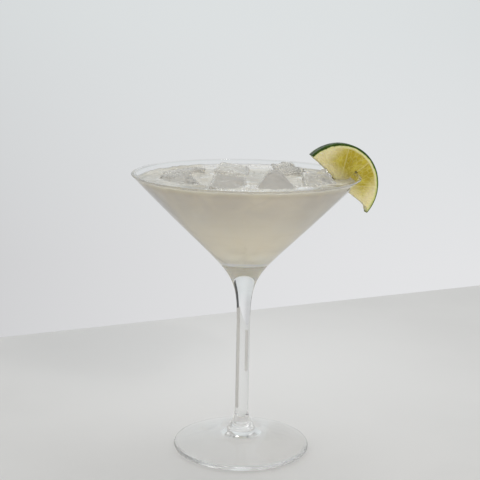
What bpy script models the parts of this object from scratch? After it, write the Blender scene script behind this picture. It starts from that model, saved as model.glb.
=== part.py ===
"""Margarita in a stemmed cocktail glass: a one-piece turned glass, the drink that fills its bowl,
seven pieces of ice standing out of the drink, and a half slice of lime hung on the rim.

Metres, +Z up. The glass's axis is the Z axis and the underside of its foot is z = 0.
"""

import math
import random

import bmesh
import bpy
from mathutils import Matrix, Vector

for old in list(bpy.data.objects):
    bpy.data.objects.remove(old, do_unlink=True)

MM = 0.001
GAP = 0.3  # clear space between neighbouring solids

# Glass
TURNS = 48  # facets round every turned solid
RIM_Z = 144.6
RIM_R = 58.0
STEM_R = 3.46
FOOT_R = 35.5
FOOT_EDGE = 2.1  # height of the foot's rounded edge
FLARE_END = 9.5  # height where the stem's lower flare turns into the foot
FOOT_LINE = (  # the foot's upper face, outwards from the flare: (radius, height)
    (7.35, 9.1),
    (8.2, 8.5),
    (9.5, 7.9),
    (12.0, 7.05),
    (16.0, 5.9),
    (20.0, 4.95),
    (25.0, 3.85),
    (30.0, 2.9),
    (34.6, 2.1),
)
WALL = 1.3  # bowl wall, measured square to it
RIM_ROUND = 0.55
FLARE_Z = 90.0  # height where the stem opens into the bowl
FLARE_SOFT = 5.0
BOWL_SLOPE = 1.006  # radius gained per height in the bowl
BOWL_SWELL = 0.7  # outward belly of the bowl's side
SWELL_FROM = 98.0
BOWL_FLOOR = 102.0  # inside bottom of the bowl
BOWL_FLOOR_R = 34.75  # radius of the bowl's round inside bottom

# Drink
LEVEL = 141.0

# Lime half slice, in the upright plane that holds the glass's axis at this bearing from +X
LIME_BEARING = 14.0
LIME_R = 21.6
LIME_SAG = 0.6  # the cut misses the middle of the fruit by this much
LIME_THICK = 5.5
LIME_CENTRE = (48.85, 138.5)  # distance from the axis and height of the middle of its straight edge
LIME_TURN = -44.4  # direction of the straight edge, down and outwards
LIME_EDGE = 0.45  # rounding of its edges
LIME_SHRINK = 1.9  # how far the flesh of the hanging half draws back from the straight edge
SLIT_WIDE = 2.3


def softplus(t):
    return math.log1p(math.exp(t))


def outer_r(z):
    """Outside radius of the stem and bowl."""
    r = STEM_R + BOWL_SLOPE * FLARE_SOFT * softplus((z - FLARE_Z) / FLARE_SOFT)
    r += 0.55 * 1.5 * softplus((16.0 - z) / 1.5)
    if z > SWELL_FROM:
        r += BOWL_SWELL * math.sin(math.pi * (z - SWELL_FROM) / (RIM_Z - SWELL_FROM))
    return r


def inner_r(z, clear=0.0):
    """Radius of the bowl's straight inside, drawn in by a clearance."""
    return outer_r(z) - (WALL + clear) * math.sqrt(1 + BOWL_SLOPE**2)


def spread(a, b, n):
    return [a + (b - a) * i / n for i in range(n + 1)]


def bowl_inside(top, clear, n_floor=7, n_side=7):
    """Points up the bowl's inside from its middle to the height top: a round floor, then the straight side."""
    points = []
    floor = BOWL_FLOOR + clear
    reach = BOWL_FLOOR_R - clear
    join_z = floor + reach * (1 - math.cos(math.radians(43)))
    for a in spread(0, 43, n_floor):
        points.append(
            (reach * math.sin(math.radians(a)), floor + reach * (1 - math.cos(math.radians(a))))
        )
    last = points[-1][0]
    side = spread(join_z, top, n_side)[1:]
    blend = inner_r(join_z, clear) - last
    for i, z in enumerate(side):
        fade = max(0.0, 1 - (i + 1) / 3)
        points.append((inner_r(z, clear) - blend * fade, z))
    return points


def turned(name, profile):
    """A solid turned about Z from (radius, height) points that run up the inside and down the outside."""
    mesh = bpy.data.meshes.new(name)
    edges = [(i, i + 1) for i in range(len(profile) - 1)]
    mesh.from_pydata([(r * MM, 0, z * MM) for r, z in profile], edges, [])
    obj = bpy.data.objects.new(name, mesh)
    bpy.context.scene.collection.objects.link(obj)
    screw = obj.modifiers.new("turn", "SCREW")
    screw.axis = "Z"
    screw.angle = math.tau
    screw.steps = screw.render_steps = TURNS
    screw.use_merge_vertices = True
    screw.merge_threshold = 0.00005
    screw.use_smooth_shade = True
    return obj


def from_bmesh(name, bm, smooth=True):
    bmesh.ops.recalc_face_normals(bm, faces=bm.faces)
    if bm.calc_volume(signed=True) < 0:
        bmesh.ops.reverse_faces(bm, faces=bm.faces)
    mesh = bpy.data.meshes.new(name)
    bm.to_mesh(mesh)
    bm.free()
    for face in mesh.polygons:
        face.use_smooth = smooth
    obj = bpy.data.objects.new(name, mesh)
    bpy.context.scene.collection.objects.link(obj)
    return obj


def as_cutter(obj):
    obj.hide_render = True
    obj.display_type = "WIRE"
    return obj


def cut(target, cutter):
    boolean = target.modifiers.new("cut_" + cutter.name, "BOOLEAN")
    boolean.operation = "DIFFERENCE"
    boolean.solver = "EXACT"
    boolean.object = as_cutter(cutter)


def paint(obj, colour, roughness, transmission=0.0, ior=1.45):
    material = bpy.data.materials.new(obj.name)
    material.use_nodes = True
    shader = material.node_tree.nodes["Principled BSDF"]
    shader.inputs["Base Color"].default_value = (*colour, 1)
    shader.inputs["Roughness"].default_value = roughness
    shader.inputs["Transmission Weight"].default_value = transmission
    shader.inputs["IOR"].default_value = ior
    obj.data.materials.append(material)


# --- glass: bowl, stem and foot are one turned piece -----------------------------------------
inside = bowl_inside(RIM_Z - RIM_ROUND, 0.0)
profile = list(inside)
rim_in = inside[-1][0]
rim_out = RIM_R
rim_mid = (rim_in + rim_out) / 2
for a in spread(180, 0, 4)[1:-1]:
    profile.append(
        (
            rim_mid + (rim_out - rim_in) / 2 * math.cos(math.radians(a)),
            RIM_Z - RIM_ROUND + RIM_ROUND * math.sin(math.radians(a)),
        )
    )
for z in spread(RIM_Z - RIM_ROUND, 100, 7) + spread(97, 73, 8) + spread(62, 24, 2):
    profile.append((outer_r(z), z))
for z in (20, 17, 14.5, 12.5, 10.8, FLARE_END):
    profile.append((outer_r(z), z))
profile += FOOT_LINE
for a in (40, 0, -45):
    profile.append(
        (
            FOOT_R - 0.9 + 0.9 * math.cos(math.radians(a)),
            FOOT_EDGE / 2 + FOOT_EDGE / 2 * math.sin(math.radians(a)),
        )
    )
profile += [(FOOT_R - 1.1, 0.0), (FOOT_R / 2, 0.0), (0.0, 0.0)]
glass = turned("glass", profile)
paint(glass, (0.95, 0.97, 0.96), 0.03, 1.0, 1.5)

# --- ice --------------------------------------------------------------------------------------
# name: middle of its top (x, y, z), size (x, y, depth), turn about Z, tips about X and Y, pinch of its far end, draw-in of its bottom
ICE = {
    "ice_1": ((-33.5, 20.0, 143.0), (26, 12, 8.5), 43, 0, -3, 0.80, 0.66),
    "ice_2": ((-33.5, -11.0, 142.9), (21, 25, 9.5), 10, 6, -4, 0.82, 0.72),
    "ice_3": ((-7.5, 25.5, 143.7), (19, 25, 12.0), -4, 3, 4, 0.86, 0.80),
    "ice_4": ((-8.5, -21.5, 143.4), (18, 29, 11.0), -3, 8, 8, 0.90, 0.78),
    "ice_5": ((14.3, -17.5, 144.2), (25.5, 31, 12.0), 3, 11, 2, 0.14, 0.80),
    "ice_6": ((21.5, 26.0, 145.0), (15, 20, 11.0), 20, 3, -3, 0.78, 0.76),
    "ice_7": ((35.5, -8.0, 145.2), (17.5, 22, 11.0), 8, 11, -5, 0.80, 0.70),
}


def ice_block(name, spec, shape, grow=0.0):
    """A broken block: top face at its middle point, a pinched far end, a smaller bottom, uneven corners and worn edges."""
    top, size, turn, tip_x, tip_y, pinch, draw = spec
    uneven = random.Random(shape)
    bm = bmesh.new()
    bmesh.ops.create_cube(bm, size=1.0)
    for v in sorted(bm.verts, key=lambda v: (v.co.z, v.co.y, v.co.x)):
        sx, sy, sz = (2 * c for c in v.co)
        w = size[0] / 2 * (pinch if sy > 0 else 1.0)
        l = size[1] / 2
        if sz < 0:
            w, l = w * draw, l * draw
        j = [uneven.uniform(-0.9, 0.9) for _ in range(3)]
        v.co = Vector(
            (
                sx * (w + grow) + j[0],
                sy * (l + grow) + j[1],
                (grow if sz > 0 else -size[2] - grow) + j[2],
            )
        )
    bmesh.ops.triangulate(bm, faces=bm.faces)
    bmesh.ops.bevel(
        bm,
        geom=bm.edges[:],
        offset=1.3,
        segments=2,
        profile=0.6,
        affect="EDGES",
        clamp_overlap=True,
    )
    place = (
        Matrix.Translation(Vector(top))
        @ Matrix.Rotation(math.radians(turn), 4, "Z")
        @ Matrix.Rotation(math.radians(tip_x), 4, "X")
        @ Matrix.Rotation(math.radians(tip_y), 4, "Y")
    )
    bm.transform(Matrix.Scale(MM, 4) @ place)
    return from_bmesh(name, bm)


for name, spec in ICE.items():
    paint(ice_block(name, spec, name), (0.86, 0.87, 0.86), 0.2, 0.6, 1.31)

# --- lime: half a slice with a slit that the rim stands in ---------------------------------------
def straight_edge(u):
    """How far the cut flesh stands back from the line between the two tips, at u along it."""
    if u < 0:
        return 0.5 * math.sin(math.pi * -u / LIME_R) ** 2
    t = u / LIME_R
    return LIME_SHRINK * min(t / 0.75, 1.0) * min(1.0, (1 - t) / 0.13)


def lime_outline(grow):
    """(along, up) points of the half disc: the peel's arc, then back along the straight edge."""
    reach = LIME_R + grow
    start = math.degrees(math.asin((LIME_SAG - grow) / reach))
    points = [
        (reach * math.cos(math.radians(a)), reach * math.sin(math.radians(a)) - LIME_SAG)
        for a in spread(180 - start, start, 36)
    ]
    for u in spread(points[-1][0], points[0][0], 22)[1:-1]:
        points.append((u, -grow if grow else straight_edge(u)))
    return points


def in_lime_plane():
    """Turns along/up/through-the-slice into the row's axes."""
    bearing = math.radians(LIME_BEARING)
    out = Vector((math.cos(bearing), math.sin(bearing), 0))
    up = Vector((0, 0, 1))
    along = out * math.cos(math.radians(LIME_TURN)) + up * math.sin(math.radians(LIME_TURN))
    rise = out * math.cos(math.radians(LIME_TURN + 90)) + up * math.sin(
        math.radians(LIME_TURN + 90)
    )
    through = along.cross(rise)
    middle = out * LIME_CENTRE[0] + up * LIME_CENTRE[1]
    turn = Matrix((along, rise, through)).transposed().to_4x4()
    return Matrix.Translation(middle) @ turn


def lime_slice(name, grow=0.0):
    bm = bmesh.new()
    half = LIME_THICK / 2 + grow
    low = [bm.verts.new((x, y, -half)) for x, y in lime_outline(grow)]
    face = bm.faces.new(low)
    new = bmesh.ops.extrude_face_region(bm, geom=[face])["geom"]
    bmesh.ops.translate(
        bm,
        verts=[v for v in new if isinstance(v, bmesh.types.BMVert)],
        vec=(0, 0, 2 * half),
    )
    rims = [e for e in bm.edges if abs(e.verts[0].co.z - e.verts[1].co.z) < 1e-6]
    if not grow:
        bmesh.ops.bevel(
            bm,
            geom=rims,
            offset=LIME_EDGE,
            segments=2,
            profile=0.6,
            affect="EDGES",
            clamp_overlap=True,
        )
    bm.transform(Matrix.Scale(MM, 4) @ in_lime_plane())
    return from_bmesh(name, bm)


def slit(name):
    """The space that the bowl's wall and rim take in the slice: it follows the wall from the rim's top down past the straight edge."""
    bearing = math.radians(LIME_BEARING)
    mid = [(inner_r(z) + outer_r(z)) / 2 for z in (RIM_Z, RIM_Z - 16)]
    top_r, low_r = mid[0], mid[1]
    down = Vector((low_r - top_r, -16)).normalized()
    side = Vector((-down.y, down.x))
    start = Vector((top_r, RIM_Z)) - down * (RIM_ROUND + GAP)
    end = start + down * 24
    bm = bmesh.new()
    ring = []
    for point, s in ((start, -1), (start, 1), (end, 1), (end, -1)):
        p = point + side * s * SLIT_WIDE / 2
        ring.append(p)
    near = [bm.verts.new((p.x, -LIME_THICK, p.y)) for p in ring]
    far = [bm.verts.new((p.x, LIME_THICK, p.y)) for p in ring]
    bm.faces.new(near)
    bm.faces.new(far[::-1])
    for i in range(4):
        k = (i + 1) % 4
        bm.faces.new((near[k], near[i], far[i], far[k]))
    bm.transform(Matrix.Scale(MM, 4) @ Matrix.Rotation(bearing, 4, "Z"))
    return from_bmesh(name, bm, smooth=False)


lime = lime_slice("lime")
cut(lime, slit("lime_slit"))
paint(lime, (0.45, 0.50, 0.12), 0.35)

# --- drink: fills the bowl to its level, with a pocket round each piece of ice and the lime's inner corner
fill = bowl_inside(LEVEL, GAP)
drink = turned("drink", fill + [(fill[-1][0] * 0.5, LEVEL), (0.0, LEVEL)])
for name, spec in ICE.items():
    cut(drink, ice_block("pocket_" + name, spec, name, GAP))
cut(drink, lime_slice("pocket_lime", GAP))
paint(drink, (0.78, 0.74, 0.60), 0.15, 0.35, 1.34)
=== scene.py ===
import math
import random

import bmesh
import bpy
import numpy as np
from mathutils import Matrix, Vector, noise


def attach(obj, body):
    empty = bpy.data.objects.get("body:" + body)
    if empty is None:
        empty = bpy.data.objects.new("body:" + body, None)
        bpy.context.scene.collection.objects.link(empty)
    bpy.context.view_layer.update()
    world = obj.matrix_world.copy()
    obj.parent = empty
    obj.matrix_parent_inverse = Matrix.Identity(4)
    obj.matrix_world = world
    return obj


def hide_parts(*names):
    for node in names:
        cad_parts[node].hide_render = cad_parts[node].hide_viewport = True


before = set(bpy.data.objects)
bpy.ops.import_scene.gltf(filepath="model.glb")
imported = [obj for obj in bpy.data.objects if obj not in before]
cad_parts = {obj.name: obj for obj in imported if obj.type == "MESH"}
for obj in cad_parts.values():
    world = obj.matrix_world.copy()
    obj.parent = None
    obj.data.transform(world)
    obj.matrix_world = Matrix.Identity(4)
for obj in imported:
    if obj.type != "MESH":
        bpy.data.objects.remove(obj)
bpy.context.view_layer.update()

MM = 0.001

# ------------------------------------------------------------------ sizes, as in the CAD, in mm
GAP = 0.3
FACETS = 0.998  # the CAD's facets lie this far inside its circles
RIM_Z, RIM_R, STEM_R = 144.6, 58.0, 3.46
FOOT_R, FOOT_EDGE, FLARE_END = 35.5, 2.1, 9.5
FOOT_LINE = ((7.35, 9.1), (8.2, 8.5), (9.5, 7.9), (12.0, 7.05), (16.0, 5.9), (20.0, 4.95), (25.0, 3.85), (30.0, 2.9), (34.6, 2.1))
FOOT_HOLLOW = ((32.9, 0.0), (31.0, 0.2), (28.0, 0.6), (24.0, 1.3), (20.0, 2.1), (16.0, 2.95), (12.0, 3.8), (9.0, 4.4), (6.0, 4.85), (3.0, 5.1), (0.0, 5.15))
WALL, RIM_ROUND = 1.3, 0.55
FLARE_Z, FLARE_SOFT, BOWL_SLOPE = 90.0, 5.0, 1.006
BOWL_SWELL, SWELL_FROM = 0.7, 98.0
BOWL_FLOOR, BOWL_FLOOR_R = 102.0, 34.75
LEVEL = 141.0
LIME_BEARING, LIME_R, LIME_SAG, LIME_THICK = 14.0, 21.6, 0.6, 5.5
LIME_CENTRE, LIME_TURN, LIME_EDGE = (48.85, 138.5), -44.4, 0.45
LIME_SHRINK, SLIT_SHOWN = 1.9, 1.55
ICE = {
    "ice_1": ((-33.5, 20.0, 143.0), (26, 12, 8.5), 43, 0, -3, 0.80, 0.66),
    "ice_2": ((-33.5, -11.0, 142.9), (21, 25, 9.5), 10, 6, -4, 0.82, 0.72),
    "ice_3": ((-7.5, 25.5, 143.7), (19, 25, 12.0), -4, 3, 4, 0.86, 0.80),
    "ice_4": ((-8.5, -21.5, 143.4), (18, 29, 11.0), -3, 8, 8, 0.90, 0.78),
    "ice_5": ((14.3, -17.5, 144.2), (25.5, 31, 12.0), 3, 11, 2, 0.14, 0.80),
    "ice_6": ((21.5, 26.0, 145.0), (15, 20, 11.0), 20, 3, -3, 0.78, 0.76),
    "ice_7": ((35.5, -8.0, 145.2), (17.5, 22, 11.0), 8, 11, -5, 0.80, 0.70),
}
# how crumbled each piece is: (facet depth mm, facet size mm, fine roughness mm)
CRUMBLE = {
    "ice_1": (0.5, 4.0, 0.10),
    "ice_2": (1.1, 3.2, 0.22),
    "ice_3": (0.3, 5.5, 0.08),
    "ice_4": (0.3, 7.0, 0.06),
    "ice_5": (0.3, 7.0, 0.06),
    "ice_6": (1.3, 3.0, 0.28),
    "ice_7": (0.9, 4.2, 0.20),
}


def softplus(t):
    return math.log1p(math.exp(t))


def outer_r(z):
    r = STEM_R + BOWL_SLOPE * FLARE_SOFT * softplus((z - FLARE_Z) / FLARE_SOFT)
    r += 0.55 * 1.5 * softplus((16.0 - z) / 1.5)
    if z > SWELL_FROM:
        r += BOWL_SWELL * math.sin(math.pi * (z - SWELL_FROM) / (RIM_Z - SWELL_FROM))
    return r


def inner_r(z, clear=0.0):
    return outer_r(z) - (WALL + clear) * math.sqrt(1 + BOWL_SLOPE**2)


def spread(a, b, n):
    return [a + (b - a) * i / n for i in range(n + 1)]


def step(a, b, x):
    t = np.clip((np.asarray(x, float) - a) / (b - a), 0.0, 1.0)
    return t * t * (3 - 2 * t)


def bowl_floor(clear, n=22):
    floor, reach = BOWL_FLOOR + clear, BOWL_FLOOR_R - clear
    return [
        (reach * math.sin(math.radians(a)), floor + reach * (1 - math.cos(math.radians(a))))
        for a in spread(0, 43, n)
    ]


def bowl_side_r(z, clear, top=RIM_Z - RIM_ROUND):
    """Radius of the bowl's straight inside above its round floor, eased into the floor."""
    last, join_z = bowl_floor(clear, 2)[-1]
    fade = max(0.0, 1 - (z - join_z) / ((top - join_z) * 3 / 7))
    return inner_r(z, clear) - (inner_r(join_z, clear) - last) * fade * fade


# ------------------------------------------------------------------ meshes
def piece(name, verts, faces, smooth=True):
    """A mesh piece, riding on the body, from points in mm."""
    mesh = bpy.data.meshes.new(name)
    mesh.from_pydata((np.asarray(verts, float) * MM).tolist(), [], faces)
    mesh.validate()
    bm = bmesh.new()
    bm.from_mesh(mesh)
    bmesh.ops.recalc_face_normals(bm, faces=bm.faces)
    bm.to_mesh(mesh)
    bm.free()
    for polygon in mesh.polygons:
        polygon.use_smooth = smooth
    obj = bpy.data.objects.new(name, mesh)
    bpy.context.scene.collection.objects.link(obj)
    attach(obj, "root")
    return obj


def revolve(profile, n):
    """Vertices and faces of a turned solid from a closed (radius, height) line that starts and ends on the axis."""
    verts, rows = [], []
    for r, z in profile:
        if r < 1e-6:
            rows.append([len(verts)] * n)
            verts.append((0, 0, z))
        else:
            rows.append(list(range(len(verts), len(verts) + n)))
            verts += [
                (r * math.cos(math.tau * i / n), r * math.sin(math.tau * i / n), z)
                for i in range(n)
            ]
    faces = []
    for a, b in zip(rows, rows[1:]):
        for i in range(n):
            k = (i + 1) % n
            ring = [a[i], a[k], b[k], b[i]]
            ring = [v for j, v in enumerate(ring) if v != ring[j - 1]]
            if len(ring) > 2:
                faces.append(ring)
    return verts, faces


def curve_through(points, per=8):
    """A smooth line through points (Catmull-Rom)."""
    p = [np.array(q, float) for q in points]
    p = [2 * p[0] - p[1]] + p + [2 * p[-1] - p[-2]]
    out = []
    for a, b, c, d in zip(p, p[1:], p[2:], p[3:]):
        for i in range(per):
            t = i / per
            out.append(
                tuple(
                    0.5
                    * (
                        2 * b
                        + (c - a) * t
                        + (2 * a - 5 * b + 4 * c - d) * t * t
                        + (3 * b - a - 3 * c + d) * t**3
                    )
                )
            )
    out.append(tuple(p[-2]))
    return out


def point_values(obj, name, values):
    values = np.asarray(values, np.float32)
    kind = "FLOAT" if values.ndim == 1 else "FLOAT_VECTOR"
    attribute = obj.data.attributes.new(name, kind, "POINT")
    attribute.data.foreach_set("value" if values.ndim == 1 else "vector", values.ravel())


def fbm(p, scale, octaves=4):
    return noise.fractal(Vector(p) / scale, 0.9, 2.1, octaves)


# ------------------------------------------------------------------ materials
class Nodes:
    """Short hand for building a material's node tree."""

    def __init__(self, name):
        self.material = bpy.data.materials.new(name)
        self.material.use_nodes = True
        self.tree = self.material.node_tree
        self.tree.nodes.clear()
        self.out = self.tree.nodes.new("ShaderNodeOutputMaterial")

    def add(self, kind, inputs=None, **settings):
        node = self.tree.nodes.new(kind)
        for key, value in settings.items():
            setattr(node, key, value)
        for key, value in (inputs or {}).items():
            self.put(node.inputs[key], value)
        return node

    def put(self, socket, value):
        if isinstance(value, bpy.types.NodeSocket):
            self.tree.links.new(value, socket)
        elif hasattr(value, "__len__") and len(value) == 3 and socket.type == "RGBA":
            socket.default_value = (*value, 1)
        else:
            socket.default_value = value

    def math(self, operation, a, b=0.0, clamp=False):
        node = self.add("ShaderNodeMath", {0: a, 1: b}, operation=operation)
        node.use_clamp = clamp
        return node.outputs[0]

    def mix(self, factor, a, b):
        node = self.add("ShaderNodeMix", data_type="RGBA")
        self.put(node.inputs[0], factor)
        self.put(node.inputs[6], a)
        self.put(node.inputs[7], b)
        return node.outputs[2]

    def ramp(self, value, low, high, to_low=0.0, to_high=1.0, smooth=True):
        node = self.add(
            "ShaderNodeMapRange",
            {"Value": value, 1: low, 2: high, 3: to_low, 4: to_high},
            interpolation_type="SMOOTHSTEP" if smooth else "LINEAR",
        )
        return node.outputs[0]

    def place(self, scale=(1, 1, 1)):
        """Object coordinates in mm, stretched by a scale."""
        where = self.add("ShaderNodeTexCoord").outputs["Object"]
        return self.add(
            "ShaderNodeVectorMath",
            {0: where, 1: tuple(1000 * s for s in scale)},
            operation="MULTIPLY",
        ).outputs[0]

    def noise(self, vector, size, detail=4.0, rough=0.5, warp=0.0):
        """Noise from about 0.2 to 0.8 with features of about size mm."""
        return self.add(
            "ShaderNodeTexNoise",
            {
                "Vector": vector,
                "Scale": 1.0 / size,
                "Detail": detail,
                "Roughness": rough,
                "Distortion": warp,
            },
        ).outputs["Fac"]

    def attribute(self, name, vector=False):
        node = self.add("ShaderNodeAttribute", attribute_name=name)
        return node.outputs["Vector" if vector else "Fac"]

    def bump(self, height, distance, strength=1.0, normal=None):
        inputs = {"Height": height, "Distance": distance * MM, "Strength": strength}
        if normal is not None:
            inputs["Normal"] = normal
        return self.add("ShaderNodeBump", inputs).outputs[0]

    def shader(self, **inputs):
        node = self.add("ShaderNodeBsdfPrincipled")
        for key, value in inputs.items():
            self.put(node.inputs[key.replace("_", " ")], value)
        return node

    def finish(self, shader, lets_light_through=False):
        out = shader.outputs[0]
        if lets_light_through:
            shadow = self.add("ShaderNodeLightPath").outputs["Is Shadow Ray"]
            clear = self.add("ShaderNodeBsdfTransparent", {"Color": (0.995, 0.995, 0.995)})
            mixed = self.add("ShaderNodeMixShader", {0: shadow, 1: out, 2: clear.outputs[0]})
            out = mixed.outputs[0]
        self.tree.links.new(out, self.out.inputs["Surface"])
        return self.material


# ------------------------------------------------------------------ glass
def glass_profile():
    top = RIM_Z - RIM_ROUND
    line = bowl_floor(0.0, 26)
    join_z = line[-1][1]
    line += [(bowl_side_r(z, 0.0), z) for z in spread(join_z, top, 54)[1:]]
    rim_in = line[-1][0]
    rim_mid, rim_half = (rim_in + RIM_R) / 2, (RIM_R - rim_in) / 2
    for a in spread(180, 0, 14)[1:-1]:
        line.append(
            (
                rim_mid + rim_half * math.cos(math.radians(a)),
                top + RIM_ROUND * math.sin(math.radians(a)),
            )
        )
    for z in spread(top, 74, 80) + spread(74, 20, 20)[1:] + spread(20, FLARE_END, 24)[1:]:
        line.append((outer_r(z), z))
    line += curve_through([(outer_r(FLARE_END), FLARE_END), *FOOT_LINE], 7)[1:]
    for a in spread(78, -80, 14):
        line.append(
            (
                FOOT_R - 0.9 + 0.9 * math.cos(math.radians(a)),
                FOOT_EDGE / 2 + FOOT_EDGE / 2 * math.sin(math.radians(a)),
            )
        )
    line += [(r, 0.0) for r in spread(FOOT_R - 1.3, FOOT_HOLLOW[0][0], 3)[:-1]]
    line += [(max(r, 0.0), max(z, 0.0)) for r, z in curve_through(FOOT_HOLLOW, 5)]
    return line


verts, faces = revolve([(r * FACETS, z) for r, z in glass_profile()], 224)
glass = piece("wine_glass", verts, faces)
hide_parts("glass")

n = Nodes("clear_glass")
where = n.place()
streak = n.noise(n.place((1, 1, 0.22)), 9.0, 2.0)
tint = n.mix(n.ramp(streak, 0.3, 0.7), (0.975, 0.980, 0.978), (0.985, 0.989, 0.988))
# painted shade: where the glass is seen edge-on its tint goes dark, drawing dark outlines round the stem, rim and
# foot
edge_on = n.add("ShaderNodeLayerWeight", {"Blend": 0.5}).outputs["Facing"]
tint = n.mix(n.ramp(edge_on, 0.80, 1.0, 0.0, 0.85), tint, (0.36, 0.365, 0.36))
height = n.add("ShaderNodeSeparateXYZ", {0: where}).outputs[2]
# painted shade: the top of the rim bead is tinted darker, drawing a dark line along the rim
tint = n.mix(n.ramp(height, RIM_Z - 0.95, RIM_Z - 0.55), tint, (0.88, 0.88, 0.87))
wave = n.bump(n.noise(n.place((1, 1, 0.3)), 11.0, 1.0), 0.18, 0.35)
glass.data.materials.append(
    n.finish(
        n.shader(
            Base_Color=tint,
            Roughness=0.0,
            IOR=1.5,
            Transmission_Weight=1.0,
            Normal=wave,
        ),
        lets_light_through=True,
    )
)


# ------------------------------------------------------------------ ice
def ice_corners(name, spec):
    top, size, turn, tip_x, tip_y, pinch, draw = spec
    uneven = random.Random(name)
    corners = {}
    for sz in (-1, 1):
        for sy in (-1, 1):
            for sx in (-1, 1):
                w = size[0] / 2 * (pinch if sy > 0 else 1.0)
                l = size[1] / 2
                if sz < 0:
                    w, l = w * draw, l * draw
                j = [uneven.uniform(-0.9, 0.9) for _ in range(3)]
                corners[sx, sy, sz] = np.array(
                    (sx * w + j[0], sy * l + j[1], (0 if sz > 0 else -size[2]) + j[2])
                )
    place = (
        Matrix.Translation(Vector(top))
        @ Matrix.Rotation(math.radians(turn), 4, "Z")
        @ Matrix.Rotation(math.radians(tip_x), 4, "X")
        @ Matrix.Rotation(math.radians(tip_y), 4, "Y")
    )
    return corners, np.array(place)


def cube_grid(n):
    """Points of a cube's surface from -1 to 1, joined across its edges, and its faces."""
    index, points, faces = {}, [], []

    def at(p):
        key = tuple(round(c * n) for c in p)
        if key not in index:
            index[key] = len(points)
            points.append(p)
        return index[key]

    ticks = [-1 + 2 * i / n for i in range(n + 1)]
    for axis in range(3):
        for side in (-1.0, 1.0):
            for a in range(n):
                for b in range(n):
                    ring = []
                    for da, db in ((0, 0), (1, 0), (1, 1), (0, 1)):
                        p = [0.0, 0.0, 0.0]
                        p[axis] = side
                        p[(axis + 1) % 3] = ticks[a + da]
                        p[(axis + 2) % 3] = ticks[b + db]
                        ring.append(at(tuple(p)))
                    faces.append(ring if side > 0 else ring[::-1])
    return np.array(points), faces


GRID, GRID_FACES = cube_grid(30)


def ice_piece(name, spec):
    corners, place = ice_corners(name, spec)
    half = np.array(spec[1]) / 2
    round_mm = 2.0
    q = GRID * half
    inner = np.clip(q, -(half - round_mm), half - round_mm)
    away = q - inner
    length = np.linalg.norm(away, axis=1, keepdims=True)
    normal = away / np.maximum(length, 1e-9)
    worn = (inner + normal * round_mm) / half
    edge = np.clip((np.abs(away) > 1e-6).sum(1) - 1, 0, 1) * np.clip(
        1 - (length[:, 0] - round_mm) / 1.0, 0, 1
    )
    t = (worn + 1) / 2
    out = np.zeros_like(worn)
    for (sx, sy, sz), corner in corners.items():
        weight = (
            (t[:, 0] if sx > 0 else 1 - t[:, 0])
            * (t[:, 1] if sy > 0 else 1 - t[:, 1])
            * (t[:, 2] if sz > 0 else 1 - t[:, 2])
        )
        out += weight[:, None] * corner
    depth, size, fine = CRUMBLE[name]
    seed = Vector((spec[0][0] * 1.7, spec[0][1] * 2.3, 5.0))
    rough = np.zeros(len(out))
    for i, p in enumerate(out):
        v = Vector(p) + seed
        near, spots = noise.voronoi(v / size)
        facet = noise.cell(spots[0] * 7.3)
        lean = (v / size - spots[0]).dot(Vector((0.5, 0.3, 0.8)))
        shift = -depth * (abs(facet) * 0.8 + 0.55 * lean)
        shift += fine * fbm(v, 1.6) + 0.25 * fbm(v, 6.0, 2)
        rough[i] = abs(facet)
        out[i] += normal[i] * min(shift, 0.45)
    world = out @ place[:3, :3].T + place[:3, 3]
    obj = piece("ice_block_" + name[-1], world, GRID_FACES)
    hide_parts(name)
    point_values(obj, "edge", edge)
    point_values(obj, "facet", rough)
    return obj, world


ice = {name: ice_piece(name, spec) for name, spec in ICE.items()}


def ice_material(name, frost, tone, lumpy, seed):
    n = Nodes(name)
    where = n.add(
        "ShaderNodeVectorMath", {0: n.place(), 1: (seed, 2 * seed, 0)}, operation="ADD"
    ).outputs[0]
    cloud = n.noise(where, 5.0, 5.0, 0.6, 0.6)
    grit = n.noise(where, 0.9, 3.0, 0.6)
    white = n.ramp(n.math("ADD", cloud, n.math("MULTIPLY", grit, 0.35)), 0.86 - frost, 1.12 - frost)
    white = n.math("MAXIMUM", white, n.math("MULTIPLY", n.attribute("edge"), n.ramp(grit, 0.25, 0.6)))
    colour = n.mix(white, tone, (0.86, 0.86, 0.84))
    rough = n.ramp(white, 0.0, 1.0, 0.04, 0.42)
    cracks = n.add(
        "ShaderNodeTexVoronoi",
        {"Vector": where, "Scale": 0.22},
        feature="DISTANCE_TO_EDGE",
    ).outputs["Distance"]
    height = n.math("ADD", n.math("MULTIPLY", n.ramp(cracks, 0.0, 0.08), 0.2), cloud)
    normal = n.bump(height, 0.5, lumpy, n.bump(grit, 0.14, lumpy))
    return n.finish(
        n.shader(
            Base_Color=colour,
            Roughness=rough,
            IOR=1.31,
            Transmission_Weight=0.66,
            Subsurface_Weight=0.3,
            Subsurface_Radius=(1.0, 1.0, 1.0),
            Subsurface_Scale=0.003,
            Normal=normal,
        ),
        lets_light_through=True,
    )


for i, (name, (obj, _)) in enumerate(ice.items()):
    frost = {"ice_1": -0.04, "ice_2": 0.04, "ice_6": 0.20, "ice_7": 0.08, "ice_3": 0.22, "ice_4": -0.10, "ice_5": -0.08}.get(name, 0.0)
    tone = {"ice_4": (0.57, 0.55, 0.52), "ice_5": (0.57, 0.55, 0.52), "ice_1": (0.65, 0.64, 0.62), "ice_2": (0.64, 0.63, 0.605)}.get(name, (0.72, 0.71, 0.68))
    lumpy = 0.15 if name in ("ice_4", "ice_5", "ice_3") else 0.45
    obj.data.materials.append(ice_material("wet_ice_" + name[-1], frost, tone, lumpy, 13.0 * i))


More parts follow.
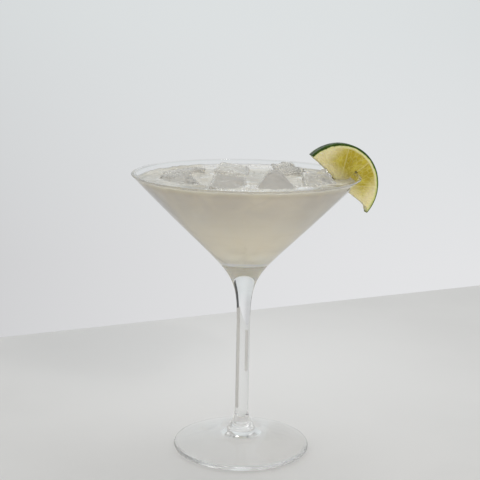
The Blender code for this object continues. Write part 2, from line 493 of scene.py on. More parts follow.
# ------------------------------------------------------------------ drink
def box_distance(points, name, spec, grow=0.0):
    """Rough distance in mm from points to an ice block, negative inside."""
    _, place = ice_corners(name, spec)
    local = (points - place[:3, 3]) @ place[:3, :3]
    size = np.array(spec[1], float)
    local = local + (0, 0, size[2] / 2)
    y = np.clip(local[:, 1] / size[1] + 0.5, 0, 1)
    draw = 1 - (1 - spec[6]) * np.clip(0.5 - local[:, 2] / size[2], 0, 1)
    half_x = size[0] / 2 * (1 - (1 - spec[5]) * y) * draw
    q = np.stack(
        [
            np.abs(local[:, 0]) - half_x,
            np.abs(local[:, 1]) - size[1] / 2 * draw,
            np.abs(local[:, 2]) - size[2] / 2,
        ],
        1,
    )
    outside = np.linalg.norm(np.maximum(q, 0), axis=1)
    return outside + np.minimum(q.max(1), 0) - grow


def surface_height(x, y):
    """Height of the drink's top over (x, y): still liquid, slush heaped between the ice and against the near wall."""
    x, y = np.asarray(x, float), np.asarray(y, float)
    h = np.full(x.shape, LEVEL - 0.1)
    bearing = np.degrees(np.arctan2(x, -y))  # 0 is the near side, positive to +X
    far_out = np.hypot(x, y) / inner_r(139.0)
    near_wall = step(0.70, 0.97, far_out)
    h += near_wall * (0.2 + 2.3 * step(-100, -62, bearing) * (1 - step(50, 100, bearing)))
    points = np.stack([x, y, np.full(x.shape, 142.0)], 1)
    close = np.full(x.shape, 99.0)
    for name, spec in ICE.items():
        close = np.minimum(close, box_distance(points, name, spec))
    heaps = (
        (-20, 1, 7, 1.1), (-20, 12, 6, 0.8), (3, -27, 5, 1.2), (3, -12, 5, 1.4), (2, 5, 7, 0.5),
        (3, 18, 6, 0.6), (28, 6, 7, 1.5), (37, 8, 6, 1.0), (29, -26, 6, 1.0), (8, 38, 9, 0.8), (-30, 34, 8, 0.6),
    )
    for cx, cy, reach, high in heaps:
        h += high * np.exp(-((x - cx) ** 2 + (y - cy) ** 2) / reach**2)
    h += 0.75 * np.exp(-((close - 0.5) ** 2) / 1.6**2)
    for i in range(len(x)):
        p = Vector((x[i], y[i], 3.1))
        h[i] += 0.30 * fbm(p, 7.0, 3) + 0.16 * fbm(p, 1.9, 3)
    under = step(0.2, 1.8, -close)
    h = h * (1 - under) + (LEVEL - 2.4) * under
    return np.minimum(h, RIM_Z - 0.95), close


def drink_mesh(n=336, rings=116, sides=46):
    into = -0.35  # reaches this far into the wall, so no air shows
    angles = np.arange(n) * math.tau / n
    level = np.full(n, LEVEL)
    for _ in range(3):
        r = np.array([bowl_side_r(z, into) for z in level])
        level, _ = surface_height(r * np.cos(angles) * 0.985, r * np.sin(angles) * 0.985)
    level = np.minimum(level + 0.9, RIM_Z - 0.16)
    edge_r = np.array([bowl_side_r(z, into) for z in level])
    verts = [np.array([[0.0, 0.0, 0.0]])]
    shares = [(i / rings) ** 0.8 for i in range(1, rings + 1)]
    xs = np.concatenate([s * edge_r * np.cos(angles) for s in shares])
    ys = np.concatenate([s * edge_r * np.sin(angles) for s in shares])
    hs, close = surface_height(np.append(xs, 0.0), np.append(ys, 0.0))
    share = np.repeat(shares, n)
    creep = np.tile(level, rings)
    t = step(0.955, 1.0, share)
    zs = hs[:-1] * (1 - t) + creep * t  # the liquid climbs the wall a little
    verts = [np.array([[0.0, 0.0, hs[-1]]]), np.stack([xs, ys, zs], 1)]
    rows = [[0] * n] + [list(range(1 + k * n, 1 + (k + 1) * n)) for k in range(rings)]
    floor = bowl_floor(into, 14)
    low_z = floor[-1][1]
    start = 1 + rings * n
    for k in range(1, sides + 1):
        z = level + (low_z - level) * k / sides
        r = np.array([bowl_side_r(v, into) for v in z])
        verts.append(np.stack([r * np.cos(angles), r * np.sin(angles), z], 1))
        rows.append(list(range(start, start + n)))
        start += n
    for r, z in floor[-2:0:-1]:
        verts.append(np.stack([r * np.cos(angles), r * np.sin(angles), np.full(n, z)], 1))
        rows.append(list(range(start, start + n)))
        start += n
    verts.append(np.array([[0.0, 0.0, floor[0][1]]]))
    rows.append([start] * n)
    faces = []
    for a, b in zip(rows, rows[1:]):
        for i in range(n):
            k = (i + 1) % n
            ring = [a[i], a[k], b[k], b[i]]
            ring = [v for j, v in enumerate(ring) if v != ring[j - 1]]
            faces.append(ring)
    verts = np.concatenate(verts)
    around = np.floor(np.arctan2(verts[:, 1], verts[:, 0]) / math.tau * n + 0.5).astype(int) % n
    inwards = edge_r[around] - np.hypot(verts[:, 0], verts[:, 1])
    below = 1.42 * (level[around] - verts[:, 2])
    from_edge = np.where(np.arange(len(verts)) <= n * rings, inwards, below)
    return verts, faces, n * rings, from_edge


verts, faces, top_faces, from_edge = drink_mesh()
drink = piece("cloudy_drink", verts, faces)
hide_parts("drink")
sunk = np.full(len(verts), 99.0)
for name, spec in ICE.items():
    sunk = np.minimum(sunk, box_distance(verts, name, spec))
bearing = np.degrees(np.arctan2(verts[:, 0], -verts[:, 1]))
shadow = np.exp(-(np.maximum(sunk - 1.0, 0) / 5.5) ** 2)
point_values(drink, "ice_near", shadow)
heap = step(0.3, 2.3, verts[:, 2] - (LEVEL - 0.1))
by_wall = step(0.72, 0.86, np.hypot(verts[:, 0], verts[:, 1]) / inner_r(140.0))
frothy = np.maximum(0.7 * np.exp(-(bearing / 13.0) ** 2), np.exp(-(((bearing - 35.0) / 10.0) ** 2)))
heap *= 1 - by_wall * (1 - frothy) * 0.7
near_half = 1 - step(75, 110, np.abs(bearing))
heap *= 1 - 0.65 * near_half * (1 - step(3.0, 8.0, from_edge))
point_values(drink, "heap", heap)
on_top = np.arange(len(verts)) < 1 + 116 * 336
east, north = verts[:, 0], verts[:, 1]


def between(v, a, b, soft):
    return step(a - soft, a + soft, v) * (1 - step(b - soft, b + soft, v))


# greyer liquid with little froth: by the near wall left and right, and in the gap between the slab and the wedge
still = between(east, -32, -16, 4) * (1 - step(-30, -16, north)) + 0.8 * between(east, -50, -41, 5) * (1 - step(-30, -12, north))
still = np.maximum(still, between(bearing, 26, 62, 5) * (1 - step(7.0, 14.0, from_edge)))
still = np.maximum(still, 0.6 * between(east, -3, 9, 2.5) * between(north, -6, 30, 4))
point_values(drink, "still", still)
point_values(drink, "far_froth", step(30, 44, north) * between(east, -24, 22, 4))
soft_edge = np.where(on_top, 0.8 * (1 - step(1.8, 5.0, from_edge)), 0.42 * (1 - step(1.5, 7.0, from_edge)))
shaded_edge = np.maximum(1 - step(0.55, 1.3, from_edge), soft_edge)
# painted shade: the liquid is darkened where it meets the wall, fully within about a millimetre of the wall line and
# more softly a few mm further in and down, strongly on the near half and faintly on the far half
point_values(drink, "meniscus_shade", shaded_edge * (0.1 + 0.9 * near_half))

n = Nodes("drink_side")
where = n.place()
height = n.add("ShaderNodeSeparateXYZ", {0: where}).outputs[2]
soft = n.noise(where, 16.0, 3.0, 0.5, 0.8)
body = n.mix(n.ramp(height, 108.0, 140.0), (0.80, 0.75, 0.625), (0.59, 0.55, 0.48))
# painted light: the drink is painted much lighter below about 110 mm, making up for the little light that reaches its
# underside
body = n.mix(n.ramp(height, 104.5, 110.0), (1.0, 0.94, 0.80), body)
body = n.mix(n.ramp(soft, 0.35, 0.7, 0.0, 0.5), body, (0.72, 0.67, 0.555))
split = n.add("ShaderNodeSeparateXYZ", {0: where})
round_it = n.math("MULTIPLY", n.math("ARCTAN2", split.outputs[0], n.math("MULTIPLY", split.outputs[1], -1.0)), 180 / math.pi)
round_it = n.math("ADD", round_it, n.math("MULTIPLY", soft, 12.0))
# painted shade: a darker streak down the drink's side at bearings of about -66 to -46 degrees, its edges stirred by
# noise
band = n.math("MULTIPLY", n.ramp(round_it, -66.0, -57.0), n.ramp(round_it, -54.0, -46.0, 1.0, 0.0))
body = n.mix(n.math("MULTIPLY", band, 0.4), body, (0.53, 0.48, 0.375))
ghost = n.math("MULTIPLY", n.attribute("ice_near"), n.ramp(soft, 0.25, 0.65))
body = n.mix(n.math("MULTIPLY", ghost, 0.7), body, n.mix(n.ramp(round_it, -22.0, -4.0), (0.64, 0.645, 0.645), (0.555, 0.55, 0.525)))
layer = n.noise(n.place((0.25, 0.25, 1.6)), 6.0, 4.0, 0.55, 0.4)
body = n.mix(n.ramp(layer, 0.5, 0.75, 0.0, 0.3), body, (0.63, 0.58, 0.46))
# painted highlight: a pale ring round the bottom of the drink, from just below the bowl floor's height to 0.7 mm
# above it
ring = n.math("MULTIPLY", n.ramp(height, BOWL_FLOOR - 0.25, BOWL_FLOOR - 0.1), n.ramp(height, BOWL_FLOOR + 0.4, BOWL_FLOOR + 0.7, 1.0, 0.0))
body = n.mix(ring, body, (1.0, 0.965, 0.90))
# painted shade along the wall line, from the meniscus mask
body = n.mix(n.math("MULTIPLY", n.attribute("meniscus_shade"), 0.85), body, (0.27, 0.25, 0.21))
drink.data.materials.append(
    n.finish(
        n.shader(
            Base_Color=body,
            Roughness=0.35,
            IOR=1.34,
            Specular_IOR_Level=0.1,
            Subsurface_Weight=0.6,
            Subsurface_Radius=(1.0, 0.92, 0.74),
            Subsurface_Scale=0.006,
        )
    )
)

n = Nodes("drink_top")
where = n.place()
foam = n.noise(where, 4.0, 5.0, 0.62, 0.5)
speck = n.add("ShaderNodeTexVoronoi", {"Vector": where, "Scale": 1.3}).outputs["Distance"]
fine = n.add("ShaderNodeTexVoronoi", {"Vector": where, "Scale": 3.1}).outputs["Distance"]
bubbly = n.math("MINIMUM", speck, n.math("MULTIPLY", fine, 0.8))
white = n.ramp(n.math("ADD", n.math("MULTIPLY", n.attribute("heap"), 0.62), foam), 0.66, 1.0)
liquid = n.mix(n.ramp(n.noise(where, 9.0, 3.0), 0.35, 0.65), (0.56, 0.53, 0.46), (0.64, 0.615, 0.55))
froth = n.mix(n.ramp(bubbly, 0.05, 0.5), (0.94, 0.94, 0.93), (0.78, 0.78, 0.76))
colour = n.mix(white, liquid, froth)
calm = n.math("MULTIPLY", n.attribute("still"), n.ramp(foam, 0.35, 0.65, 1.0, 0.55))
colour = n.mix(n.math("MULTIPLY", calm, 0.9), colour, (0.36, 0.345, 0.305))
colour = n.mix(n.math("MULTIPLY", n.attribute("far_froth"), 0.5), colour, (0.95, 0.955, 0.965))
# painted shade along the wall line, from the meniscus mask
colour = n.mix(n.math("MULTIPLY", n.attribute("meniscus_shade"), 0.85), colour, (0.27, 0.25, 0.21))
rough = n.ramp(white, 0.0, 1.0, 0.10, 0.42)
pits = n.math("MULTIPLY", bubbly, n.ramp(white, 0.1, 0.9))
normal = n.bump(pits, 0.5, 0.7, n.bump(foam, 0.5, 0.6))
drink.data.materials.append(
    n.finish(
        n.shader(
            Base_Color=colour,
            Roughness=rough,
            IOR=1.34,
            Subsurface_Weight=0.6,
            Subsurface_Radius=(1.0, 0.96, 0.86),
            Subsurface_Scale=0.003,
            Normal=normal,
        )
    )
)
for polygon in drink.data.polygons:
    polygon.material_index = 1 if polygon.index < top_faces else 0


# ------------------------------------------------------------------ bubbles
def balls(name, spots, flat=1.0, turns=8, rows=5):
    """Small spheres in one mesh: (x, y, z, radius) in mm."""
    verts, faces = [], []
    for x, y, z, r in spots:
        first = len(verts)
        verts.append((x, y, z + r * flat))
        for j in range(1, rows):
            a = math.pi * j / rows
            for i in range(turns):
                b = math.tau * (i + 0.5 * (j % 2)) / turns
                verts.append(
                    (x + r * math.sin(a) * math.cos(b), y + r * math.sin(a) * math.sin(b), z + r * flat * math.cos(a))
                )
        verts.append((x, y, z - r * flat))
        last = len(verts) - 1
        for i in range(turns):
            k = (i + 1) % turns
            faces.append((first, first + 1 + i, first + 1 + k))
            for j in range(rows - 2):
                a, b = first + 1 + j * turns, first + 1 + (j + 1) * turns
                faces.append((a + i, b + i, b + k, a + k))
            faces.append((last, last - turns + k, last - turns + i))
    return piece(name, verts, faces)


pick = random.Random(41)
spots = []
while len(spots) < 520:
    bearing = math.radians(pick.gauss(4, 26) if pick.random() < 0.6 else pick.uniform(-180, 180))
    share = 1 - abs(pick.gauss(0, 0.10)) if pick.random() < 0.65 else pick.uniform(0.1, 1) ** 0.6
    r = max(0.05, min(share, 0.975)) * inner_r(142.0)
    if share > 0.78 and 22 < math.degrees(abs(bearing)) < 115:
        continue
    spots.append((r * math.sin(bearing), -r * math.cos(bearing), pick.choice((0.28, 0.38, 0.5, 0.7)) * pick.uniform(0.7, 1.15)))
height, near = surface_height([s[0] for s in spots], [s[1] for s in spots])
kept = []
for (x, y, r), h, c in zip(spots, height, near):
    if c > -0.2 and math.hypot(x, y) + r + 0.4 < inner_r(h):
        kept.append((x, y, h + 0.15 * r, r))
bubbles = balls("bubbles", kept)
n = Nodes("bubble_film")
film = n.mix(n.ramp(n.noise(n.place(), 0.8, 2.0), 0.3, 0.7), (0.90, 0.90, 0.88), (0.97, 0.97, 0.97))
bubbles.data.materials.append(
    n.finish(
        n.shader(Base_Color=film, Roughness=0.05, IOR=1.2, Transmission_Weight=0.8),
        lets_light_through=True,
    )
)


# ------------------------------------------------------------------ lime
def straight_edge(u):
    if u < 0:
        return 0.5 * math.sin(math.pi * -u / LIME_R) ** 2
    t = u / LIME_R
    return LIME_SHRINK * min(t / 0.75, 1.0) * min(1.0, (1 - t) / 0.13)


def lime_matrix():
    bearing = math.radians(LIME_BEARING)
    out = Vector((math.cos(bearing), math.sin(bearing), 0))
    up = Vector((0, 0, 1))
    along = out * math.cos(math.radians(LIME_TURN)) + up * math.sin(math.radians(LIME_TURN))
    rise = out * math.cos(math.radians(LIME_TURN + 90)) + up * math.sin(math.radians(LIME_TURN + 90))
    through = along.cross(rise)
    middle = out * LIME_CENTRE[0] + up * LIME_CENTRE[1]
    turn = Matrix((along, rise, through)).transposed().to_4x4()
    return Matrix.Translation(middle) @ turn


MEMBRANES = (-4.0, 41.0, 81.0, 121.0, 161.0, 196.0)  # bearings of the walls between the segments
RIND, PITH = 0.9, 1.25  # thickness of the green skin and of the pale pith inside it, mm


def lime_face_relief(x, y):
    """How far the cut face stands out (+) or in (-) at a point of the slice, mm."""
    cy = y + LIME_SAG
    rad, ang = math.hypot(x, cy), math.degrees(math.atan2(cy, x))
    flesh_r = LIME_R - RIND - PITH
    wall = min(abs((ang - m + 180) % 360 - 180) * math.radians(1) * rad for m in MEMBRANES)
    to_pith = flesh_r - rad
    inside = float(step(0.0, 1.2, to_pith))
    by_wall = math.exp(-((wall / 0.55) ** 2))
    around, outward = math.radians(ang) * 9.0, rad / 3.4
    near, _ = noise.voronoi(Vector((around, outward, 2.0)))
    cell = min(near[1] - near[0], 0.5)
    relief = inside * (-0.22 + 0.34 * cell) * (1 - by_wall)
    relief += inside * by_wall * 0.12
    relief += 0.10 * fbm((x, y, 7.0), 2.5, 3)
    relief -= 0.35 * float(step(LIME_R - 0.5, LIME_R, rad))
    return relief


def lime_mesh(n=230, rows=88, rim=8):
    """Front and back faces on one grid, joined round the peel and along the straight edge."""
    start = math.degrees(math.asin(LIME_SAG / LIME_R))
    arc = [
        (LIME_R * math.cos(math.radians(a)), LIME_R * math.sin(math.radians(a)) - LIME_SAG)
        for a in spread(180 - start, start, n)
    ]
    half = LIME_THICK / 2
    grid = []
    for i, (ax, ay) in enumerate(arc):
        low = straight_edge(ax)
        nib = 0.28 * noise.noise(Vector((ax * 0.55, 0, 0))) + 0.22 * noise.noise(Vector((ax * 1.7, 4, 0)))
        ease = min(1.0, (LIME_R - abs(ax)) / 2.5)
        low = max(0.0, min(low + nib * ease, ay - 0.05)) if ay > 0.05 else ay
        grid.append([(ax, low + (ay - low) * (j / rows)) for j in range(rows + 1)])
    verts, front, back = [], {}, {}
    for side, index in ((1, front), (-1, back)):
        for i in range(n + 1):
            for j in range(rows + 1):
                x, y = grid[i][j]
                edge = min(j, rows - j, i * 2, (n - i) * 2)
                drop = LIME_EDGE * (1 - min(1.0, edge / 3)) ** 2
                index[i, j] = len(verts)
                relief = min(0.0, lime_face_relief(x + 0.4 * (side < 0), y) - 0.12)
                verts.append((x, y, side * (half - drop + relief)))
    faces = []
    for i in range(n):
        for j in range(rows):
            faces.append((front[i, j], front[i + 1, j], front[i + 1, j + 1], front[i, j + 1]))
            faces.append((back[i, j], back[i, j + 1], back[i + 1, j + 1], back[i + 1, j]))
    loop = [(i, rows) for i in range(n + 1)] + [(i, 0) for i in range(n - 1, 0, -1)]
    rings = [[front[k] for k in loop]]
    for r in range(1, rim):
        ring = []
        t = r / rim
        for key in loop:
            a, b = verts[front[key]], verts[back[key]]
            bulge = 0.0 if key[1] else -0.12 * math.sin(math.pi * t)
            ring.append(len(verts))
            verts.append((a[0], a[1] - bulge * 0.5, a[2] + (b[2] - a[2]) * t))
        rings.append(ring)
    rings.append([back[k] for k in loop])
    for a, b in zip(rings, rings[1:]):
        for i in range(len(loop)):
            k = (i + 1) % len(loop)
            faces.append((a[i], b[i], b[k], a[k]))
    return np.array(verts), faces


LIME_PLACE = lime_matrix()
verts, faces = lime_mesh()
spin = np.array(LIME_PLACE)
lime = piece("lime_slice", verts @ spin[:3, :3].T + spin[:3, 3], faces)
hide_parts("lime")


def slit_box():
    bearing = math.radians(LIME_BEARING)
    mid = [(inner_r(z) + outer_r(z)) / 2 for z in (RIM_Z, RIM_Z - 16)]
    down = Vector((mid[1] - mid[0], -16)).normalized()
    side = Vector((-down.y, down.x))
    start = Vector((mid[0], RIM_Z)) - down * (RIM_ROUND + 0.1)
    end = start + down * 24
    bm = bmesh.new()
    ring = [p + side * s * SLIT_SHOWN / 2 for p, s in ((start, -1), (start, 1), (end, 1), (end, -1))]
    near = [bm.verts.new((p.x, -LIME_THICK, p.y)) for p in ring]
    far = [bm.verts.new((p.x, LIME_THICK, p.y)) for p in ring]
    bm.faces.new(near)
    bm.faces.new(far[::-1])
    for i in range(4):
        k = (i + 1) % 4
        bm.faces.new((near[k], near[i], far[i], far[k]))
    bm.transform(Matrix.Scale(MM, 4) @ Matrix.Rotation(bearing, 4, "Z"))
    bmesh.ops.recalc_face_normals(bm, faces=bm.faces)
    mesh = bpy.data.meshes.new("slit")
    bm.to_mesh(mesh)
    bm.free()
    obj = bpy.data.objects.new("slit", mesh)
    bpy.context.scene.collection.objects.link(obj)
    return obj


cutter = slit_box()
boolean = lime.modifiers.new("slit", "BOOLEAN")
boolean.operation, boolean.solver, boolean.object = "DIFFERENCE", "EXACT", cutter
bpy.context.view_layer.update()
cut_mesh = bpy.data.meshes.new_from_object(lime.evaluated_get(bpy.context.evaluated_depsgraph_get()))
lime.modifiers.clear()
lime.data = cut_mesh
bpy.data.objects.remove(cutter)
for polygon in lime.data.polygons:
    polygon.use_smooth = True
back_to_plane = np.array(LIME_PLACE.inverted())
co = np.array([v.co for v in lime.data.vertices], float) / MM
point_values(lime, "slice", co @ back_to_plane[:3, :3].T + back_to_plane[:3, 3])

n = Nodes("lime_flesh_and_peel")
plane = n.attribute("slice", vector=True)
split = n.add("ShaderNodeSeparateXYZ", {0: plane})
x, y, w = split.outputs
cy = n.math("ADD", y, LIME_SAG)
rad = n.math("SQRT", n.math("ADD", n.math("MULTIPLY", x, x), n.math("MULTIPLY", cy, cy)))
ang = n.math("MULTIPLY", n.math("ARCTAN2", cy, x), 180 / math.pi)
wobble = n.noise(plane, 3.0, 3.0)
rad_w = n.math("ADD", rad, n.math("MULTIPLY", n.math("SUBTRACT", wobble, 0.5), 0.9))
# vesicles: long cells that point at the middle
polar = n.add(
    "ShaderNodeCombineXYZ",
    {0: n.math("MULTIPLY", ang, 0.155), 1: n.math("MULTIPLY", rad, 0.30), 2: n.math("MULTIPLY", w, 0.2)},
).outputs[0]
cells = n.add("ShaderNodeTexVoronoi", {"Vector": polar, "Scale": 1.0}, feature="DISTANCE_TO_EDGE").outputs["Distance"]
cell_tone = n.add("ShaderNodeTexVoronoi", {"Vector": polar, "Scale": 1.0}).outputs["Color"]
cell_value = n.add("ShaderNodeSeparateXYZ", {0: cell_tone}).outputs[0]
flesh = n.mix(n.ramp(cell_value, 0.1, 0.9), (0.50, 0.395, 0.035), (0.61, 0.52, 0.080))
flesh = n.mix(n.ramp(n.noise(plane, 4.5, 3.0), 0.35, 0.68), flesh, (0.43, 0.335, 0.024))
flesh = n.mix(n.ramp(cells, 0.0, 0.10, 0.45, 0.0), flesh, (0.68, 0.60, 0.19))
# paler towards the straight edge and the two tips
pale = n.math("MAXIMUM", n.ramp(y, 8.5, 1.0), n.ramp(n.math("ABSOLUTE", x), 8.5, 17.0))
flesh = n.mix(n.math("MULTIPLY", pale, 0.9), flesh, (0.84, 0.755, 0.44))
walls = None
for m in MEMBRANES:
    off = n.math("ABSOLUTE", n.math("MULTIPLY", n.math("SINE", n.math("MULTIPLY", n.math("SUBTRACT", ang, m), math.pi / 180)), rad))
    walls = off if walls is None else n.math("MINIMUM", walls, off)
wall_mask = n.math("MULTIPLY", n.ramp(n.math("ADD", walls, n.math("MULTIPLY", wobble, 0.35)), 0.22, 0.75, 1.0, 0.0), 0.32)
flesh = n.mix(wall_mask, flesh, (0.76, 0.70, 0.37))
pith = n.mix(n.ramp(rad_w, LIME_R - RIND - PITH, LIME_R - RIND), (0.77, 0.72, 0.40), (0.68, 0.68, 0.29))
face = n.mix(n.ramp(rad_w, LIME_R - RIND - PITH - 0.5, LIME_R - RIND - PITH + 0.4), flesh, pith)
green_line = n.mix(n.math("MULTIPLY", n.ramp(rad_w, LIME_R - RIND - 0.45, LIME_R - RIND + 0.05), n.ramp(x, 14.0, 19.0, 1.0, 0.35)), face, (0.235, 0.34, 0.035))
skin = n.mix(n.ramp(n.noise(plane, 5.0, 3.0), 0.3, 0.7), (0.016, 0.042, 0.002), (0.036, 0.076, 0.004))
skin = n.mix(n.ramp(x, 10.0, 21.0), skin, (0.045, 0.085, 0.006))
skin_in = n.math("ADD", n.ramp(x, -12.0, 16.0, LIME_R - 1.2, LIME_R - 0.8), n.ramp(x, 15.0, 20.5, 0.0, 0.15))
rimmed = n.mix(n.ramp(n.math("SUBTRACT", rad_w, skin_in), -0.12, 0.28), n.mix(0.17, green_line, (0.03, 0.02, 0.0)), skin)
pores = n.add("ShaderNodeTexVoronoi", {"Vector": plane, "Scale": 1.15}).outputs["Distance"]
outside = n.ramp(rad, LIME_R - 0.3, LIME_R - 0.05)
skin_bump = n.math("MULTIPLY", n.ramp(pores, 0.0, 0.55), outside)
flesh_bump = n.math("MULTIPLY", n.ramp(cells, 0.0, 0.25), n.math("SUBTRACT", 1.0, outside))
normal = n.bump(n.math("ADD", skin_bump, flesh_bump), 0.22, 0.8, n.bump(n.noise(plane, 0.8, 3.0), 0.12, 0.5))
wet = n.math("ADD", n.ramp(n.noise(plane, 2.2, 2.0), 0.3, 0.75, 0.14, 0.36), n.math("MULTIPLY", outside, 0.12))
lime.data.materials.clear()
lime.data.materials.append(
    n.finish(
        n.shader(
            Base_Color=rimmed,
            Roughness=wet,
            IOR=1.42,
            Subsurface_Weight=0.35,
            Subsurface_Radius=(1.0, 0.85, 0.25),
            Subsurface_Scale=0.0022,
            Specular_IOR_Level=0.28,
            Coat_Weight=0.03,
            Coat_Roughness=0.2,
            Normal=normal,
        )
    )
)

# juice standing on the cut face
pick = random.Random(12)
drops = []
for x, y, r in ((13.2, 4.3, 0.5), (17.2, 3.6, 0.55), (9.6, 6.9, 0.4), (3.4, 9.8, 0.3), (-5.5, 8.2, 0.35), (-9.0, 5.2, 0.3), (12.5, 8.2, 0.3), (5.5, 14.0, 0.28), (-2.0, 12.5, 0.3)):
    for side in (1, -1):
        p = LIME_PLACE @ Vector((x + (0 if side > 0 else pick.uniform(-2, 2)), y, side * (LIME_THICK / 2 - 0.18)))
        drops.append((p.x, p.y, p.z, r))
juice = balls("juice_drops", drops, 1.0, 14, 9)
n = Nodes("juice")
juice.data.materials.append(
    n.finish(
        n.shader(
            Base_Color=n.mix(n.ramp(n.noise(n.place(), 1.0, 2.0), 0.3, 0.7), (0.95, 0.96, 0.82), (0.98, 0.98, 0.93)),
            Roughness=0.02,
            IOR=1.34,
            Transmission_Weight=1.0,
        ),
        lets_light_through=True,
    )
)


# ------------------------------------------------------------------ stage
def stage_plane(name, corners, colour, spot, pale=None):
    mesh = bpy.data.meshes.new(name)
    mesh.from_pydata([tuple(c) for c in corners], [], [tuple(range(len(corners)))])
    obj = bpy.data.objects.new(name, mesh)
    bpy.context.scene.collection.objects.link(obj)
    n = Nodes(name)
    tone = n.mix(n.ramp(n.noise(n.place(), 60.0, 3.0), 0.3, 0.7), colour, spot)
    # painted pool of light: the tone is paler towards a point, fading out over the given reach
    if pale:
        middle, reach, paler = pale
        away = n.add("ShaderNodeVectorMath", {0: n.place(), 1: middle}, operation="DISTANCE").outputs["Value"]
        tone = n.mix(n.ramp(away, 0.0, reach, 1.0, 0.0), tone, paler)
    obj.data.materials.append(n.finish(n.shader(Base_Color=tone, Roughness=0.6, Specular_IOR_Level=0.3)))
    return obj


edge = Vector((0.3712, 0.1806)).normalized()  # direction of the table's far edge
mid = Vector((-0.0027, 0.2632))
a, b = mid - edge * 3.0, mid + edge * 3.0
across = Vector((edge.y, -edge.x))
# the floor carries a painted pool of light, paler round a point 130 mm behind the glass
floor = stage_plane(
    "floor",
    [(a.x, a.y, -0.0003), (b.x, b.y, -0.0003), (b.x + across.x * 5, b.y + across.y * 5, -0.0003), (a.x + across.x * 5, a.y + across.y * 5, -0.0003)],
    (0.645, 0.635, 0.622),
    (0.665, 0.655, 0.642),
    ((5.0, 130.0, 0.0), 230.0, (0.765, 0.755, 0.745)),
)


def card(name, centre, size, bearing, tone=(0.02, 0.02, 0.022)):
    """A dark studio card out of the camera's sight, whose reflection draws the glass's outline."""
    c = Vector(centre)
    side = Vector((math.cos(math.radians(bearing)), math.sin(math.radians(bearing)), 0)) * size[0] / 2
    up = Vector((0, 0, size[1] / 2))
    obj = stage_plane(name, [c - side - up, c + side - up, c + side + up, c - side + up], tone, tuple(1.3 * t for t in tone))
    obj.visible_camera = obj.visible_shadow = obj.visible_diffuse = False
    return obj


card("card_left", (-0.62, 0.26, 0.2), (0.16, 0.7), 68)
card("card_right", (0.20, 0.192, 0.13), (0.16, 0.26), -46).visible_glossy = False
card("card_near", (0.0318, 0.0318, 0.033), (0.044, 0.065), -45, (0.45, 0.435, 0.415)).visible_glossy = False
card("card_edge", (-0.0435, 0.0117, 0.033), (0.018, 0.065), 75, (0.45, 0.44, 0.42)).visible_glossy = False
# card_streak stands in for the glass's shadow on the table, seen through the stem
card("card_streak", (-0.056, 0.105, 0.0145), (0.060, 0.028), 28, (0.52, 0.51, 0.49)).visible_glossy = False
card("card_front", (-0.9, -1.1, 0.35), (1.3, 0.9), -35, (0.20, 0.20, 0.20))

world = bpy.data.worlds.new("studio")
bpy.context.scene.world = world
world.use_nodes = True
tree = world.node_tree
tree.nodes.clear()
out = tree.nodes.new("ShaderNodeOutputWorld")
background = tree.nodes.new("ShaderNodeBackground")
coords = tree.nodes.new("ShaderNodeTexCoord")
xyz = tree.nodes.new("ShaderNodeSeparateXYZ")
tree.links.new(coords.outputs["Generated"], xyz.inputs[0])


def world_math(operation, a, b, clamp=False):
    node = tree.nodes.new("ShaderNodeMath")
    node.operation, node.use_clamp = operation, clamp
    for socket, value in zip(node.inputs, (a, b)):
        if isinstance(value, float):
            socket.default_value = value
        else:
            tree.links.new(value, socket)
    return node.outputs[0]


def world_mix(factor, a, b):
    node = tree.nodes.new("ShaderNodeMix")
    node.data_type = "RGBA"
    tree.links.new(factor, node.inputs[0])
    for socket, value in ((node.inputs[6], a), (node.inputs[7], b)):
        if isinstance(value, tuple):
            socket.default_value = value
        else:
            tree.links.new(value, socket)
    return node.outputs[2]


east, north, height = xyz.outputs
low = world_math("MULTIPLY", world_math("MULTIPLY", height, -4.5), 1.0, True)
wall = world_mix(low, (0.720, 0.748, 0.755, 1), (0.735, 0.738, 0.750, 1))
front = world_math("ADD", world_math("MULTIPLY", north, 1.6), 0.6, True)
tone = world_mix(front, (0.56, 0.565, 0.57, 1), wall)
sideways = world_math("MINIMUM", world_math("MAXIMUM", east, -0.3), 0.3)
lean = world_math("MULTIPLY", sideways, world_math("ADD", world_math("MULTIPLY", low, 0.36), 0.06))
fall = world_math("MULTIPLY", world_math("MULTIPLY", sideways, sideways), -0.9)
background.inputs[1].default_value = 1.0
tree.links.new(tone, background.inputs[0])
tree.links.new(world_math("ADD", world_math("ADD", lean, fall), 1.0), background.inputs[1])
tree.links.new(background.outputs[0], out.inputs[0])


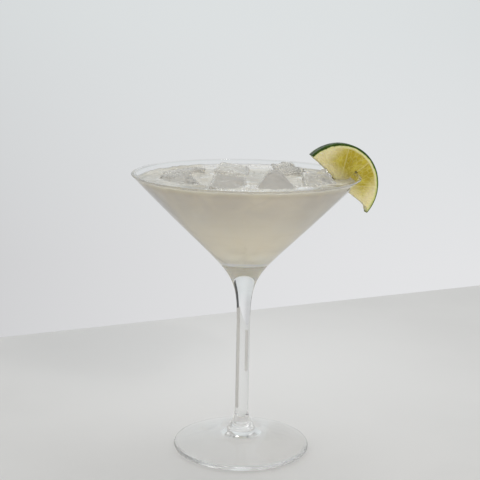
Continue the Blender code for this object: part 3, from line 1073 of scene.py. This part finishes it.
def area(name, where, target, size, power, colour=(1, 1, 1)):
    data = bpy.data.lights.new(name, "AREA")
    data.shape = "RECTANGLE"
    data.size, data.size_y = size
    data.energy = power
    data.color = colour
    obj = bpy.data.objects.new(name, data)
    bpy.context.scene.collection.objects.link(obj)
    obj.location = where
    obj.rotation_euler = (Vector(target) - Vector(where)).to_track_quat("-Z", "Y").to_euler()
    return obj


key = area("key", (0.46, -0.79, 0.78), (0, 0, 0.1), (0.30, 0.30), 2.5, (1.0, 0.985, 0.96))
key.visible_glossy = False
fill = area("fill", (-0.15, -1.1, 0.16), (0, 0, 0.12), (1.3, 0.4), 5.2, (1.0, 0.99, 0.97))
fill.visible_glossy = fill.visible_transmission = False
above = area("above", (0.15, 0.55, 1.1), (0.05, 0.1, 0), (0.8, 0.8), 3.2)
above.visible_glossy = above.visible_transmission = False
low = area("low", (0, -0.085, 0.004), (0, -0.01, 0.11), (0.16, 0.08), 0.03, (1.0, 0.99, 0.97))
low.visible_camera = low.visible_glossy = low.visible_transmission = False
spark = area("spark", (0.46, -0.79, 0.78), (0, 0, 0.14), (0.03, 0.03), 0.6)
spark.visible_transmission = False

camera = bpy.data.objects.new("camera", bpy.data.cameras.new("camera"))
bpy.context.scene.collection.objects.link(camera)
pitch, yaw, roll = (math.radians(a) for a in (11.74, -0.27, 1.15))
ahead = Vector((math.sin(yaw) * math.cos(pitch), math.cos(yaw) * math.cos(pitch), -math.sin(pitch)))
right = Vector((math.cos(yaw), -math.sin(yaw), 0))
over = right.cross(ahead)
right, over = right * math.cos(roll) + over * math.sin(roll), over * math.cos(roll) - right * math.sin(roll)
pose = Matrix((right, over, -ahead)).transposed().to_4x4()
camera.matrix_world = Matrix.Translation((0, -0.5409, 0.2228)) @ pose
camera.data.sensor_width = 36.0
camera.data.lens = 81.3
camera.data.clip_start, camera.data.clip_end = 0.01, 50.0
bpy.context.scene.camera = camera
bpy.context.scene.view_settings.view_transform = "Standard"
paths = bpy.context.scene.cycles
paths.max_bounces, paths.transmission_bounces, paths.glossy_bounces = 28, 28, 24
paths.transparent_max_bounces = 24

bpy.context.view_layer.update()
